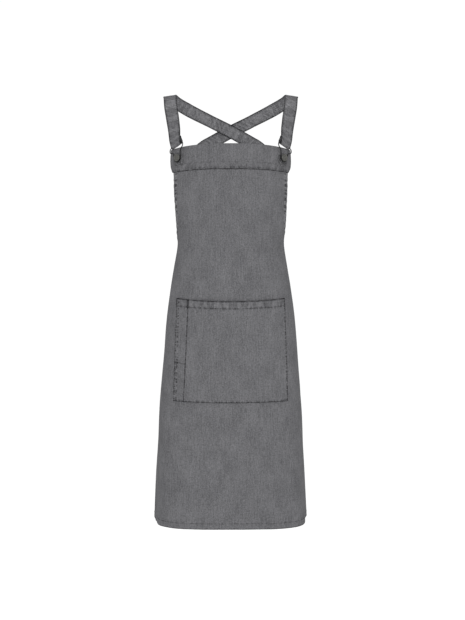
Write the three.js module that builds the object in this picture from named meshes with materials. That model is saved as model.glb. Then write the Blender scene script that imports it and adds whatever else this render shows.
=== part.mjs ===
import * as THREE from "three";
import { mergeVertices } from "three/addons/utils/BufferGeometryUtils.js";

// A worn cross back apron. Sizes are in millimetres, Z is up, the front faces -Y,
// and the straps rest on the wearer's shoulders at Z = 0.

// Sizes of the cloth
const garmentLength = 858;
const strapDrop = 126;
const bibWidth = 288;
const waistWidth = 480;
const hemWidth = 720;
const clothThickness = 1.2;
const bandHeight = 58;
const bandOverhang = 8;
const bibDip = 7.8;
const hemHeight = 14;
const foldDepth = 7;

// Sizes of the pocket
const pocketDrop = 345;
const pocketWidth = 263;
const pocketTaper = 7;
const pocketHeight = 230;
const pocketSag = 8;
const pocketHem = 18;
const pocketEase = 3;

// Sizes of the straps
const strapWidth = 30;
const strapThickness = 2.2;
const strapSpan = 286;
const strapLap = 28;
const tailLength = 20;
const tailShift = 2.6;
const barShift = 1.4;
const strapLean = 4;

// Sizes of the clips and buttons
const wireDiameter = 2.2;
const clipWidth = 42.5;
const clipHeight = 40;
const clipTilt = 7;
const barSlant = 16;
const strapSlant = 8;
const buttonDiameter = 17;
const buttonHeight = 7.4;
const buttonInset = 21;
const buttonDrop = 29;

// Sizes of the worn form that the cloth follows
const formWidth = 340;
const formDepth = 120;

// Clearances between pieces
const seamGap = 0.4;
const lapGap = 0.8;
const wireGap = 0.3;
const crossingGap = 1.2;
const clipLift = 4;

// The form from the shoulders (-1) past the bib top (0) to the hem (1). Half width is a
// share of half formWidth, front and back are shares of formDepth, round is the exponent.
const sections = [
  { at: -1.024, half: 1.0, front: 0.042, back: 0.017, round: 2.3 },
  { at: -0.952, half: 1.0, front: 0.25, back: 0.275, round: 2.35 },
  { at: -0.833, half: 1.0, front: 0.417, back: 0.475, round: 2.4 },
  { at: -0.659, half: 0.994, front: 0.6, back: 0.613, round: 2.45 },
  { at: -0.476, half: 0.976, front: 0.75, back: 0.7, round: 2.45 },
  { at: -0.214, half: 0.935, front: 0.883, back: 0.767, round: 2.4 },
  { at: 0, half: 0.912, front: 0.958, back: 0.817, round: 2.4 },
  { at: 0.037, half: 0.894, front: 0.992, back: 0.833, round: 2.4 },
  { at: 0.068, half: 0.876, front: 1.008, back: 0.833, round: 2.4 },
  { at: 0.124, half: 0.835, front: 0.992, back: 0.8, round: 2.45 },
  { at: 0.18, half: 0.785, front: 0.925, back: 0.733, round: 2.5 },
  { at: 0.232, half: 0.733, front: 0.842, back: 0.65, round: 2.5 },
  { at: 0.259, half: 0.727, front: 0.817, back: 0.625, round: 2.5 },
  { at: 0.314, half: 0.771, front: 0.842, back: 0.7, round: 2.6 },
  { at: 0.369, half: 0.818, front: 0.9, back: 0.817, round: 2.7 },
  { at: 0.45, half: 0.871, front: 0.967, back: 0.933, round: 2.85 },
  { at: 0.56, half: 0.911, front: 1.017, back: 0.983, round: 3.0 },
  { at: 0.67, half: 0.955, front: 1.058, back: 0.992, round: 3.1 },
  { at: 0.833, half: 0.991, front: 1.092, back: 0.992, round: 3.2 },
  { at: 1, half: 1.028, front: 1.112, back: 1.0, round: 3.2 }
];

// The panel's side edge: arm runs from bib to waist width, flare from waist to hem width.
const edges = [
  { at: 0, arm: 0, flare: 0 },
  { at: 0.08, arm: 0, flare: 0 },
  { at: 0.12, arm: 0.03, flare: 0 },
  { at: 0.16, arm: 0.05, flare: 0 },
  { at: 0.19, arm: 0.09, flare: 0 },
  { at: 0.212, arm: 0.16, flare: 0 },
  { at: 0.232, arm: 0.32, flare: 0 },
  { at: 0.25, arm: 0.58, flare: 0 },
  { at: 0.262, arm: 0.82, flare: 0 },
  { at: 0.27, arm: 1, flare: 0 },
  { at: 0.4, arm: 1, flare: 0.25 },
  { at: 0.6, arm: 1, flare: 0.58 },
  { at: 0.8, arm: 1, flare: 0.83 },
  { at: 1, arm: 1, flare: 1 }
];
const armEnd = 0.27;

// How far the band stands out past the bib's side, down its height.
const bandSides = [
  { down: 0, out: 0.36 },
  { down: 0.25, out: 0.72 },
  { down: 0.52, out: 1 },
  { down: 0.76, out: 0.87 },
  { down: 0.88, out: 0.5 },
  { down: 1, out: 0 }
];

// Soft folds of the skirt: centre and spread are shares of the half width there.
const folds = [
  { centre: -0.84, spread: 0.13, depth: 0.9, from: 0.4 },
  { centre: -0.6, spread: 0.12, depth: -0.5, from: 0.5 },
  { centre: -0.36, spread: 0.12, depth: 0.25, from: 0.7 },
  { centre: 0.12, spread: 0.16, depth: -0.2, from: 0.72 },
  { centre: 0.4, spread: 0.13, depth: 0.25, from: 0.7 },
  { centre: 0.64, spread: 0.12, depth: -0.5, from: 0.5 },
  { centre: 0.87, spread: 0.12, depth: 0.9, from: 0.4 }
];

// The strap from above its clip over the shoulder. Across is a share of half strapSpan,
// back of formDepth, high of strapDrop; then the normal of its face.
const strapRows = [
  { across: 0.897, back: -0.6, high: -0.71, nx: 0.42, ny: -0.84, nz: 0.34 },
  { across: 0.928, back: -0.51, high: -0.476, nx: 0.24, ny: -0.87, nz: 0.43 },
  { across: 0.965, back: -0.34, high: -0.235, nx: 0.16, ny: -0.78, nz: 0.6 },
  { across: 0.985, back: -0.14, high: -0.04, nx: 0.13, ny: -0.5, nz: 0.85 },
  { across: 0.995, back: 0.01, high: 0.02, nx: 0.14, ny: 0, nz: 0.98 },
  { across: 0.915, back: 0.2, high: -0.05, nx: 0.4, ny: 0.42, nz: 0.81 },
  { across: 0.705, back: 0.413, high: -0.167, nx: 0.45, ny: 0.76, nz: 0.46 }
];

// The strap down the back: beyond is a share of half the way around, counted from the
// centre back and on to the other side.
const strapEnd = [
  { at: -0.659, beyond: -0.122 },
  { at: -0.476, beyond: 0 },
  { at: -0.262, beyond: 0.118 },
  { at: -0.183, beyond: 0.156 },
  { at: 0.002, beyond: 0.211 },
  { at: 0.051, beyond: 0.25 },
  { at: 0.124, beyond: 0.288 },
  { at: 0.191, beyond: 0.325 },
  { at: 0.24, beyond: 0.359 }
];

const halfBib = bibWidth / 2;
const bandEnd = bandHeight / garmentLength;

// A smooth curve through one column of a table.
function column(rows, key, name, value) {
  const last = rows.length - 1;
  let i = 0;
  while (i < last - 1 && value > rows[i + 1][key]) i += 1;
  const slope = (k) => {
    const a = rows[Math.max(0, k - 1)];
    const b = rows[Math.min(last, k + 1)];
    return (b[name] - a[name]) / (b[key] - a[key]);
  };
  const span = rows[i + 1][key] - rows[i][key];
  const t = THREE.MathUtils.clamp((value - rows[i][key]) / span, 0, 1);
  const p = rows[i][name];
  const q = rows[i + 1][name];
  const rise = 3 * t * t - 2 * t * t * t;
  const near = (t * t * t - 2 * t * t + t) * span * slope(i);
  const far = (t * t * t - t * t) * span * slope(i + 1);
  return p + (q - p) * rise + near + far;
}

function heightOf(at) {
  if (at < 0) return -strapDrop * (1 + at);
  return -strapDrop - at * garmentLength;
}

function levelOf(z) {
  if (z > -strapDrop) return -z / strapDrop - 1;
  return (-strapDrop - z) / garmentLength;
}

// One level of the form: points from the centre front around to the centre back.
const levels = new Map();
function level(at) {
  const found = levels.get(at);
  if (found) return found;
  const half = column(sections, "at", "half", at) * formWidth / 2;
  const front = column(sections, "at", "front", at) * formDepth;
  const back = column(sections, "at", "back", at) * formDepth;
  const power = column(sections, "at", "round", at);
  const points = [];
  let length = 0;
  for (let i = 0; i <= 320; i += 1) {
    const turn = Math.PI * i / 320;
    const deep = Math.abs(Math.cos(turn)) ** (2 / power);
    const x = half * Math.abs(Math.sin(turn)) ** (2 / power);
    const y = i < 160 ? -front * deep : back * deep;
    if (i > 0) length += Math.hypot(x - points[i - 1].x, y - points[i - 1].y);
    points.push({ x, y, length });
  }
  const made = { half, front, back, power, points, length };
  levels.set(at, made);
  return made;
}

// The point and outward direction at a level and a length around from the centre front.
function onForm(at, around) {
  const found = level(at);
  const way = Math.abs(around);
  const { points } = found;
  let low = 0;
  let high = points.length - 1;
  while (high - low > 1) {
    const middle = Math.floor((low + high) / 2);
    if (points[middle].length > way) high = middle;
    else low = middle;
  }
  const span = points[high].length - points[low].length;
  const t = (way - points[low].length) / span;
  const x = points[low].x + (points[high].x - points[low].x) * t;
  const y = points[low].y + (points[high].y - points[low].y) * t;
  const deep = y < 0 ? found.front : found.back;
  const outX = (x / found.half) ** (found.power - 1) / found.half;
  const outY = Math.sign(y) * (Math.abs(y) / deep) ** (found.power - 1) / deep;
  const side = around < 0 ? -1 : 1;
  const normal = new THREE.Vector3(side * outX, outY, 0).normalize();
  return { point: new THREE.Vector3(side * x, y, heightOf(at)), normal };
}

function halfWidthAt(at) {
  const arm = column(edges, "at", "arm", at);
  const flare = column(edges, "at", "flare", at);
  return (bibWidth + (waistWidth - bibWidth) * arm + (hemWidth - waistWidth) * flare) / 2;
}

// How far the skirt's folds push the cloth out at a place.
function foldAt(at, around) {
  const place = around / halfWidthAt(Math.max(at, 0));
  let push = 0;
  for (const fold of folds) {
    const away = (place - fold.centre) / fold.spread;
    const grown = THREE.MathUtils.smoothstep(at, fold.from, 1);
    push += fold.depth * foldDepth * grown * Math.exp(-away * away);
  }
  return push;
}

// A place on the cloth, lifted off its middle.
function onCloth(at, around, lift) {
  const { point, normal } = onForm(at, around);
  return point.addScaledVector(normal, lift + foldAt(at, around));
}

// The bib's top edge dips towards its corners.
function dipAt(around) {
  return bibDip * (Math.abs(around) / halfBib) ** 2.3;
}

// A closed solid from a shape class whose corners are moved by a function.
function moved(shape, place) {
  const spots = shape.getAttribute("position");
  const flat = shape.getAttribute("uv");
  for (let i = 0; i < spots.count; i += 1) {
    const from = new THREE.Vector3().fromBufferAttribute(spots, i);
    const to = place(from, flat.getX(i), flat.getY(i));
    spots.setXYZ(i, to.x, to.y, to.z);
  }
  shape.deleteAttribute("normal");
  shape.deleteAttribute("uv");
  const joined = mergeVertices(shape, 1e-4);
  const { array } = joined.getIndex();
  const kept = [];
  for (let i = 0; i < array.length; i += 3) {
    const [a, b, c] = [array[i], array[i + 1], array[i + 2]];
    if (a !== b && b !== c && c !== a) kept.push(a, b, c);
  }
  joined.setIndex(kept);
  joined.computeVertexNormals();
  return joined;
}

// A wall of cloth: place takes shares across and down, and side 1 outside or -1 inside.
function wall(across, down, place) {
  const box = new THREE.BoxGeometry(1, 1, 1, across, down, 1);
  return moved(box, (from) => place(from.x + 0.5, 0.5 - from.y, from.z * 2));
}

// Shares split into stretches, each with its own number of steps.
function spread(ends, steps) {
  const list = [ends[0]];
  steps.forEach((count, i) => {
    for (let k = 1; k <= count; k += 1) {
      list.push(ends[i] + (ends[i + 1] - ends[i]) * k / count);
    }
  });
  return list;
}

function pick(list, share) {
  return list[Math.round(share * (list.length - 1))];
}

// The panel, with its bottom hem folded to the inside.
const foldTop = clothThickness / 2 + seamGap;
const foldRadius = foldTop + clothThickness / 2;
const hemAt = 1 - hemHeight / garmentLength;
const panelRows = spread([0, bandEnd, armEnd, hemAt - 0.002, hemAt, 1], [3, 13, 19, 1, 1]);

function panelPlace(across, down, side) {
  const at = pick(panelRows, down);
  const around = (across * 2 - 1) * halfWidthAt(at);
  const hem = side < 0 && at >= hemAt - 1e-9 ? clothThickness * 0.8 : 0;
  const fade = Math.max(0, 1 - at / bandEnd);
  const drop = (dipAt(around) + foldRadius + clothThickness / 2) * fade;
  return onCloth(levelOf(heightOf(at) - drop), around, side * clothThickness / 2 - hem);
}

const panel = wall(34, panelRows.length - 1, panelPlace);

// The band folded over the bib's top edge, from its outer seam to its inner seam.
const bandStations = [];
for (let i = 0; i < 4; i += 1) bandStations.push({ down: i / 4, turn: Math.PI });
for (let i = 0; i <= 4; i += 1) bandStations.push({ down: 1, turn: Math.PI * (4 - i) / 4 });
for (let i = 3; i >= 0; i -= 1) bandStations.push({ down: i / 4, turn: 0 });

function bandPlace(across, share, side) {
  const station = pick(bandStations, share);
  const low = 1 - station.down;
  const half = halfBib + bandOverhang * column(bandSides, "down", "out", low);
  const around = (across * 2 - 1) * half;
  const dip = dipAt(around);
  const top = strapDrop + dip + foldRadius + clothThickness / 2;
  const z = -top - (strapDrop + bandHeight + dip * 0.35 - top) * low;
  const reach = foldRadius + side * clothThickness / 2;
  const spot = onCloth(levelOf(z), around, reach * Math.cos(station.turn));
  spot.z += reach * Math.sin(station.turn);
  return spot;
}

const band = wall(26, bandStations.length - 1, bandPlace);

// The patch pocket, with a doubled hem along its mouth.
const pocketHemShare = pocketHem / pocketHeight;
const pocketRows = spread([0, pocketHemShare, pocketHemShare + 0.008, 1], [2, 1, 10]);

function pocketPlace(across, share, side) {
  const down = pick(pocketRows, share);
  const middle = across * 2 - 1;
  const around = middle * (pocketWidth - pocketTaper * (1 - down)) / 2;
  const sag = pocketSag * (1 - middle * middle) * (1 - down * 0.6);
  const z = -strapDrop - pocketDrop - down * pocketHeight - sag;
  const ease = pocketEase * (1 - middle ** 4) * Math.max(0, 1 - down / 0.8) ** 2;
  const hem = side > 0 && down <= pocketHemShare + 1e-9 ? clothThickness * 0.8 : 0;
  const lift = clothThickness + seamGap + ease + side * clothThickness / 2 + hem;
  return onCloth(levelOf(z), around, lift);
}

const pocket = wall(20, pocketRows.length - 1, pocketPlace);

// Where a clip hangs on its button: out of the cloth, up along the clip, and across.
function clipFrame(hand) {
  const at = buttonDrop / garmentLength;
  const around = hand * (halfBib - buttonInset);
  const { point, normal } = onForm(at, around);
  const cloth = foldRadius + clothThickness / 2 + wireGap;
  const base = point.clone().addScaledVector(normal, cloth);
  const level = new THREE.Vector3(0, 0, 1).cross(normal);
  const lean = THREE.MathUtils.degToRad(clipTilt);
  const up = new THREE.Vector3(0, 0, Math.cos(lean));
  up.addScaledVector(level, hand * Math.sin(lean));
  const across = up.clone().cross(normal);
  const slant = THREE.MathUtils.degToRad(clipTilt + strapSlant);
  const rise = new THREE.Vector3(0, 0, Math.cos(slant));
  rise.addScaledVector(level, hand * Math.sin(slant));
  const wire = base.clone().addScaledVector(normal, clipLift - wireGap);
  return { base, wire, normal, up, across, rise };
}

const wireRadius = wireDiameter / 2;
const loopRadius = buttonDiameter / 2 + 1;
const barHeight = clipHeight - loopRadius - wireDiameter;
const earReach = clipWidth / 2 - wireRadius;

// Half of the bent wire from its lowest point up to its top bar. Wide is a share of the
// ear's reach where ear is 1 and of the loop's radius where it is 0; high is of the bar.
const wireRows = [
  { ear: 0, wide: 0.5, low: 0.866, high: 0 },
  { ear: 0, wide: 0.866, low: 0.5, high: 0 },
  { ear: 0, wide: 1, low: 0, high: 0 },
  { ear: 0, wide: 1.07, low: 0, high: 0.3 },
  { ear: 0, wide: 1.2, low: 0, high: 0.48 },
  { ear: 1, wide: 0.7, low: 0, high: 0.575 },
  { ear: 1, wide: 0.89, low: 0, high: 0.64 },
  { ear: 1, wide: 0.99, low: 0, high: 0.76 },
  { ear: 1, wide: 0.985, low: 0, high: 0.88 },
  { ear: 1, wide: 0.9, low: 0, high: 0.975 },
  { ear: 1, wide: 0.82, low: 0, high: 1 },
  { ear: 1, wide: 0.4, low: 0, high: 1 }
];

function wirePath(hand) {
  const side = wireRows.map((row) => {
    const wide = row.wide * (row.ear ? earReach : loopRadius);
    return new THREE.Vector3(wide, row.high * barHeight - row.low * loopRadius, 0);
  });
  const other = side.map((spot) => new THREE.Vector3(-spot.x, spot.y, 0)).reverse();
  const lowest = new THREE.Vector3(0, -loopRadius, 0);
  const middle = new THREE.Vector3(0, barHeight, 0);
  const path = [lowest, ...side, middle, ...other];
  const slant = hand * Math.tan(THREE.MathUtils.degToRad(barSlant));
  for (const spot of path) {
    spot.y -= slant * spot.x * THREE.MathUtils.smoothstep(spot.y, 0, barHeight * 0.75);
  }
  return new THREE.CatmullRomCurve3(path, true);
}

function clip(hand) {
  const { wire, normal, up, across } = clipFrame(hand);
  const path = wirePath(hand);
  const ring = new THREE.TorusGeometry(1, 0.2, 6, 56);
  return moved(ring, (from, along, round) => {
    const spot = path.getPoint(along % 1);
    const way = path.getTangent(along % 1);
    const out = new THREE.Vector3(way.y, -way.x, 0);
    const turn = Math.PI * 2 * round;
    spot.addScaledVector(out, wireRadius * Math.cos(turn));
    const place = wire.clone().addScaledVector(across, spot.x);
    place.addScaledVector(up, spot.y);
    return place.addScaledVector(normal, wireRadius * Math.sin(turn));
  });
}

// A shank button: a flange on the cloth, a neck, and a shallow dished cap.
function button(hand) {
  const { base, normal, up, across } = clipFrame(hand);
  const cap = buttonDiameter / 2;
  const profile = [
    [0, 0], [0.6, 0], [0.62, 0.12], [0.36, 0.16], [0.34, 0.7],
    [0.9, 0.7], [1, 0.82], [0.9, 0.97], [0.74, 1], [0.62, 0.93], [0, 0.93]
  ];
  const points = profile.map(([wide, high]) => {
    return new THREE.Vector2(wide * cap, high * buttonHeight);
  });
  return moved(new THREE.LatheGeometry(points, 14), (from) => {
    const place = base.clone().addScaledVector(across, from.z);
    place.addScaledVector(up, from.x);
    return place.addScaledVector(normal, from.y);
  });
}

// Places along a strap: middle, face normal, the way along it, and the across offset.
function strapStations(hand) {
  const { wire, normal, up, across, rise } = clipFrame(hand);
  const inward = up.clone().multiplyScalar(Math.tan(THREE.MathUtils.degToRad(barSlant)));
  inward.addScaledVector(across, -hand).normalize();
  const bar = wire.clone().addScaledVector(up, barHeight).addScaledVector(inward, barShift);
  const reach = wireRadius + wireGap + strapThickness / 2;
  const near = bar.clone().addScaledVector(normal, reach);
  const above = bar.clone().addScaledVector(rise, strapWidth / 2);
  above.addScaledVector(normal, strapThickness * 0.75);
  above.y += strapLean;
  const turned = normal.clone();
  turned.y -= 0.42;
  const spots = [near, above];
  const faces = [normal, turned.normalize()];
  for (const row of strapRows) {
    const x = hand * row.across * strapSpan / 2;
    spots.push(new THREE.Vector3(x, row.back * formDepth, row.high * strapDrop));
    faces.push(new THREE.Vector3(hand * row.nx, row.ny, row.nz).normalize());
  }
  const fall = endPath(hand);
  const joint = endPlace(fall, 0, 0, 0);
  spots.push(joint.spot);
  faces.push(joint.face);
  const next = endPlace(fall, 0.12, 0, 0);
  spots.push(next.spot);
  faces.push(next.face);
  const curve = new THREE.CatmullRomCurve3(spots);
  const skew = -hand * Math.tan(THREE.MathUtils.degToRad(barSlant - strapSlant));
  const stations = [];
  const spans = spots.length - 1;
  for (let i = 0; i < spans - 1; i += 1) {
    const long = spots[i].distanceTo(spots[i + 1]);
    const steps = Math.max(2, Math.round(long / strapWidth * 2.5));
    for (let k = 0; k < steps; k += 1) {
      const share = (i + k / steps) / spans;
      const spot = curve.getPoint(share);
      const way = curve.getTangent(share);
      const face = faces[i].clone().lerp(faces[i + 1], k / steps);
      face.addScaledVector(way, -face.dot(way)).normalize();
      const high = spot.distanceTo(near) / strapWidth;
      const slip = rise.clone().multiplyScalar(skew * (1 - THREE.MathUtils.smoothstep(high, 0, 1)));
      stations.push({ spot, face, way, slip, shift: 0 });
    }
  }
  const tail = tailStations(stations, bar, normal, rise, reach, hand);
  const steps = 44;
  const ends = [];
  for (let k = 0; k <= steps; k += 1) ends.push({ fall, share: k / steps });
  return [...tail, ...stations, ...ends];
}

// The right strap passes outside the left one where they cross.
function crossingLift(beyond) {
  const away = Math.abs(beyond) / strapWidth;
  const near = 1 - THREE.MathUtils.smoothstep(away, 1.3, 2.2);
  return near * (strapThickness + crossingGap);
}

// The strap's folded tail, from its free end down and around the clip's bar.
function tailStations(front, bar, normal, up, reach, hand) {
  const list = [];
  let gone = 0;
  for (let i = 1; i < front.length; i += 1) {
    gone += front[i].spot.distanceTo(front[i - 1].spot);
    if (gone > tailLength) break;
    const step = Math.min(1, gone / tailLength * 1.6);
    const apart = 2 * reach + (strapThickness + seamGap - 2 * reach) * step;
    const spot = front[i].spot.clone().addScaledVector(front[i].face, -apart);
    const face = front[i].face.clone().negate();
    const way = front[i].way.clone().negate();
    const shift = -hand * tailShift * (1 - gone / tailLength);
    list.unshift({ spot, face, way, slip: front[i].slip, shift });
  }
  for (let k = 0; k < 6; k += 1) {
    const turn = Math.PI * (1 - k / 6);
    const face = normal.clone().multiplyScalar(Math.cos(turn));
    face.addScaledVector(up, -Math.sin(turn));
    const way = up.clone().multiplyScalar(Math.cos(turn));
    way.addScaledVector(normal, Math.sin(turn));
    const spot = bar.clone().addScaledVector(face, reach);
    const shift = -hand * tailShift * (1 - k / 6) * 0.6;
    list.push({ spot, face, way, slip: front[0].slip, shift });
  }
  return list;
}

// A place on the back, by its length from the centre back towards +X.
function onBack(at, across, lift) {
  const side = across < 0 ? -1 : 1;
  return onCloth(at, side * (level(at).length - Math.abs(across)), lift);
}

// The strap's way down the back in lengths beyond the centre back and heights, with its
// lap on the panel's corner.
function endPath(hand) {
  const rows = strapEnd.map((row) => {
    return new THREE.Vector3(row.beyond * level(row.at).length, heightOf(row.at), 0);
  });
  const height = heightOf(armEnd) - strapLap * 0.7;
  const corner = waistWidth / 2 - strapWidth * 0.6;
  rows.push(new THREE.Vector3(level(levelOf(height)).length - corner, height, 0));
  return { hand, path: new THREE.CatmullRomCurve3(rows) };
}

const lapLift = clothThickness / 2 + lapGap + strapThickness / 2;

// A place on the back, its surface's two directions and its outward one.
function backFrame(place, beside, rise) {
  const step = clothThickness;
  const middle = place(beside, rise);
  const aslant = place(beside + step, rise).sub(middle).divideScalar(step);
  const upward = place(beside, rise + step).sub(middle).divideScalar(step);
  return { middle, aslant, upward, face: upward.clone().cross(aslant).normalize() };
}

// A place on the strap down the back, square across the strap's own way.
function endPlace(fall, share, aside, side) {
  const path = fall.path.getPoint(share);
  const way = fall.path.getTangent(share);
  const lift = lapLift + (fall.hand > 0 ? crossingLift(path.x) : 0);
  const place = (beside, rise) =>
    onBack(levelOf(path.y + rise), -fall.hand * path.x + beside, lift);
  const { aslant, upward, face } = backFrame(place, 0, 0);
  const forward = aslant.clone().multiplyScalar(-fall.hand * way.x);
  const across = forward.addScaledVector(upward, way.y).cross(face).normalize();
  const rise = across.z / upward.z;
  const beside = across.addScaledVector(upward, -rise).dot(aslant) / aslant.lengthSq();
  const here = backFrame(place, beside * aside, rise * aside);
  const spot = here.middle.addScaledVector(here.face, side * strapThickness / 2);
  return { spot, face: here.face };
}

function strap(hand) {
  const stations = strapStations(hand);
  const box = new THREE.BoxGeometry(1, 1, 1, 3, stations.length - 1, 1);
  return moved(box, (from) => {
    const station = pick(stations, from.y + 0.5);
    const aside = from.x * strapWidth;
    const side = from.z * 2;
    if (station.fall) {
      return endPlace(station.fall, station.share, aside, side).spot;
    }
    const across = station.way.clone().cross(station.face);
    const place = station.spot.clone().addScaledVector(across, aside);
    place.addScaledVector(station.slip, aside);
    place.x += station.shift;
    return place.addScaledVector(station.face, side * strapThickness / 2);
  });
}

const denim = { color: 0x6e6e70, roughness: 0.95, metalness: 0 };
const denimDark = { color: 0x6c6b6e, roughness: 0.95, metalness: 0 };
const darkWire = { color: 0x2c2c2d, roughness: 0.35, metalness: 0.9 };
const gunmetal = { color: 0x64645f, roughness: 0.4, metalness: 0.8 };

const group = new THREE.Group();

function add(name, geometry, look) {
  const mesh = new THREE.Mesh(geometry, new THREE.MeshStandardMaterial(look));
  mesh.name = name;
  group.add(mesh);
}

add("apron_panel", panel, denim);
add("bib_band", band, denimDark);
add("pocket", pocket, denim);
add("strap_left", strap(-1), denimDark);
add("strap_right", strap(1), denimDark);
add("clip_left", clip(-1), darkWire);
add("clip_right", clip(1), darkWire);
add("button_left", button(-1), gunmetal);
add("button_right", button(1), gunmetal);

export default group;
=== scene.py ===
import math

import bmesh
import bpy
import numpy as np
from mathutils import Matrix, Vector


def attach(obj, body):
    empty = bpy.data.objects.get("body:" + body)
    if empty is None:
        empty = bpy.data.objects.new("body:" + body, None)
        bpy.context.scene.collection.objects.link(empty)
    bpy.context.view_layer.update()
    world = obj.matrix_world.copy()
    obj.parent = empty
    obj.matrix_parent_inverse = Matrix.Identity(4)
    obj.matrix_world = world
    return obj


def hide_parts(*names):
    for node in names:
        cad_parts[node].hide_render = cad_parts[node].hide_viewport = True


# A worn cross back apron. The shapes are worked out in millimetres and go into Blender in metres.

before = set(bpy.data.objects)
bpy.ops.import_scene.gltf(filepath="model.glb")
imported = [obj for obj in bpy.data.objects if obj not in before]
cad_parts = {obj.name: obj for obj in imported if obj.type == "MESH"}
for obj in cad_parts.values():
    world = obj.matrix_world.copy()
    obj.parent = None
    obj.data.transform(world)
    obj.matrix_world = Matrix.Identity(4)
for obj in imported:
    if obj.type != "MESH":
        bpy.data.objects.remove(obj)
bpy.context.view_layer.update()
MM = 0.001

# Sizes of the cloth
LENGTH = 858.0
DROP = 126.0
BIB = 288.0
WAIST = 480.0
HEM = 720.0
CLOTH = 1.2
BAND = 58.0
OVERHANG = 8.0
DIP = 7.8
HEM_HEIGHT = 14.0
SIDE_HEM = 10.0
FOLD = 7.0

# Sizes of the pocket
POCKET_DROP = 345.0
POCKET_WIDTH = 263.0
POCKET_TAPER = 7.0
POCKET_HEIGHT = 230.0
POCKET_SAG = 8.0
POCKET_HEM = 18.0
POCKET_EASE = 3.0
PEN_WIDTH = 33.0
PEN_BASE = 26.0
PEN_DEPTH = 143.0

# Sizes of the straps, clips and buttons
STRAP = 30.0
STRAP_THICK = 2.2
SPAN = 286.0
LAP = 28.0
TAIL = 20.0
TAIL_SHIFT = 2.6
BAR_SHIFT = 1.4
STRAP_LEAN = 4.0
WIRE = 2.2
CLIP_WIDTH = 42.5
CLIP_HEIGHT = 40.0
CLIP_TILT = 7.0
BAR_SLANT = 16.0
STRAP_SLANT = 8.0
BUTTON = 17.0
BUTTON_HEIGHT = 7.4
BUTTON_INSET = 21.0
BUTTON_DROP = 29.0

# Sizes of the worn form
FORM_WIDTH = 340.0
FORM_DEPTH = 120.0

# Clearances
SEAM_GAP = 0.4
LAP_GAP = 0.8
WIRE_GAP = 0.3
CROSSING_GAP = 1.2
CLIP_LIFT = 4.0

# Fineness and roundness of the cloth
LEVEL_STEPS = 320
SHEET_EDGE = 0.3
STRAP_EDGE = 0.25
HEM_STEP = 1.2
PANEL_INSETS = [0, 1.8, 4.2, 7, 9.2, 11, 12.6]
PANEL_MIDDLE = 14.0
STRAP_COLUMNS = [15, 14.2, 13.2, 12.2, 10, 7, 3.5]
TAIL_EDGE = 1.3

# Stitches: length, gap between them and thickness of the thread
STITCH = (2.7, 1.0, 0.4)
BAND_STITCH = (2.7, 1.0, 0.42)
STRAP_STITCH = (2.5, 1.0, 0.36)
LAP_STITCH = (2.3, 0.6, 0.4)
TACK_STITCH = (1.9, 0.3, 0.42)
STITCH_SHOULDER = 0.22
THREAD_SINK = 0.4
THREAD_WIDE = 0.9
THREAD_HIGH = 0.75


def table(names, rows):
    """Rows of values as dictionaries with the named columns."""
    return [dict(zip(names.split(), row)) for row in rows]


# Soft waves of the cloth: the seed of each one, and its wavelengths along its two directions.
WAVES = {
    "panel": (11, 90, 340), "side tuck": (5, 17, 90), "hem tuck": (9, 19, 90),
    "band pleat": (21, 15, 60), "band": (23, 60, 50),
    "pocket edge": (31, 15, 70), "pocket foot": (33, 16, 70), "pen": (35, 14, 70),
    "pocket": (37, 90, 120),
    "left strap": (40, 26, 60), "right strap": (42, 26, 60), "strap tuck": (43, 9, 50),
}

# The form from the shoulders (-1) past the bib top (0) to the hem (1): half of the width,
# front and back of the depth, and the roundness exponent.
SECTIONS = table("at half front back round", [
    (-1.024, 1.0, 0.042, 0.017, 2.3),
    (-0.952, 1.0, 0.25, 0.275, 2.35),
    (-0.833, 1.0, 0.417, 0.475, 2.4),
    (-0.659, 0.994, 0.6, 0.613, 2.45),
    (-0.476, 0.976, 0.75, 0.7, 2.45),
    (-0.214, 0.935, 0.883, 0.767, 2.4),
    (0, 0.912, 0.958, 0.817, 2.4),
    (0.037, 0.894, 0.992, 0.833, 2.4),
    (0.068, 0.876, 1.008, 0.833, 2.4),
    (0.124, 0.835, 0.992, 0.8, 2.45),
    (0.18, 0.785, 0.925, 0.733, 2.5),
    (0.232, 0.733, 0.842, 0.65, 2.5),
    (0.259, 0.727, 0.817, 0.625, 2.5),
    (0.314, 0.771, 0.842, 0.7, 2.6),
    (0.369, 0.818, 0.9, 0.817, 2.7),
    (0.45, 0.871, 0.967, 0.933, 2.85),
    (0.56, 0.911, 1.017, 0.983, 3.0),
    (0.67, 0.955, 1.058, 0.992, 3.1),
    (0.833, 0.991, 1.092, 0.992, 3.2),
    (1, 1.028, 1.112, 1.0, 3.2),
])

# The panel's side edge: arm runs from bib to waist width, flare from waist to hem width.
EDGES = table("at arm flare", [
    (0, 0, 0),
    (0.08, 0, 0),
    (0.12, 0.03, 0),
    (0.16, 0.05, 0),
    (0.19, 0.09, 0),
    (0.212, 0.16, 0),
    (0.232, 0.32, 0),
    (0.25, 0.58, 0),
    (0.262, 0.82, 0),
    (0.27, 1, 0),
    (0.4, 1, 0.25),
    (0.6, 1, 0.58),
    (0.8, 1, 0.83),
    (1, 1, 1),
])
ARM_END = 0.27

# How far the band stands out past the bib's side, down its height.
BAND_SIDES = table("down out", [
    (0, 0.36),
    (0.25, 0.72),
    (0.52, 1),
    (0.76, 0.87),
    (0.88, 0.5),
    (1, 0),
])

# Soft folds of the skirt: centre and spread are shares of the half width there.
FOLDS = table("centre spread depth from", [
    (-0.84, 0.13, 0.9, 0.4),
    (-0.6, 0.12, -0.5, 0.5),
    (-0.36, 0.12, 0.25, 0.7),
    (0.12, 0.16, -0.2, 0.72),
    (0.4, 0.13, 0.25, 0.7),
    (0.64, 0.12, -0.5, 0.5),
    (0.87, 0.12, 0.9, 0.4),
])

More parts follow.
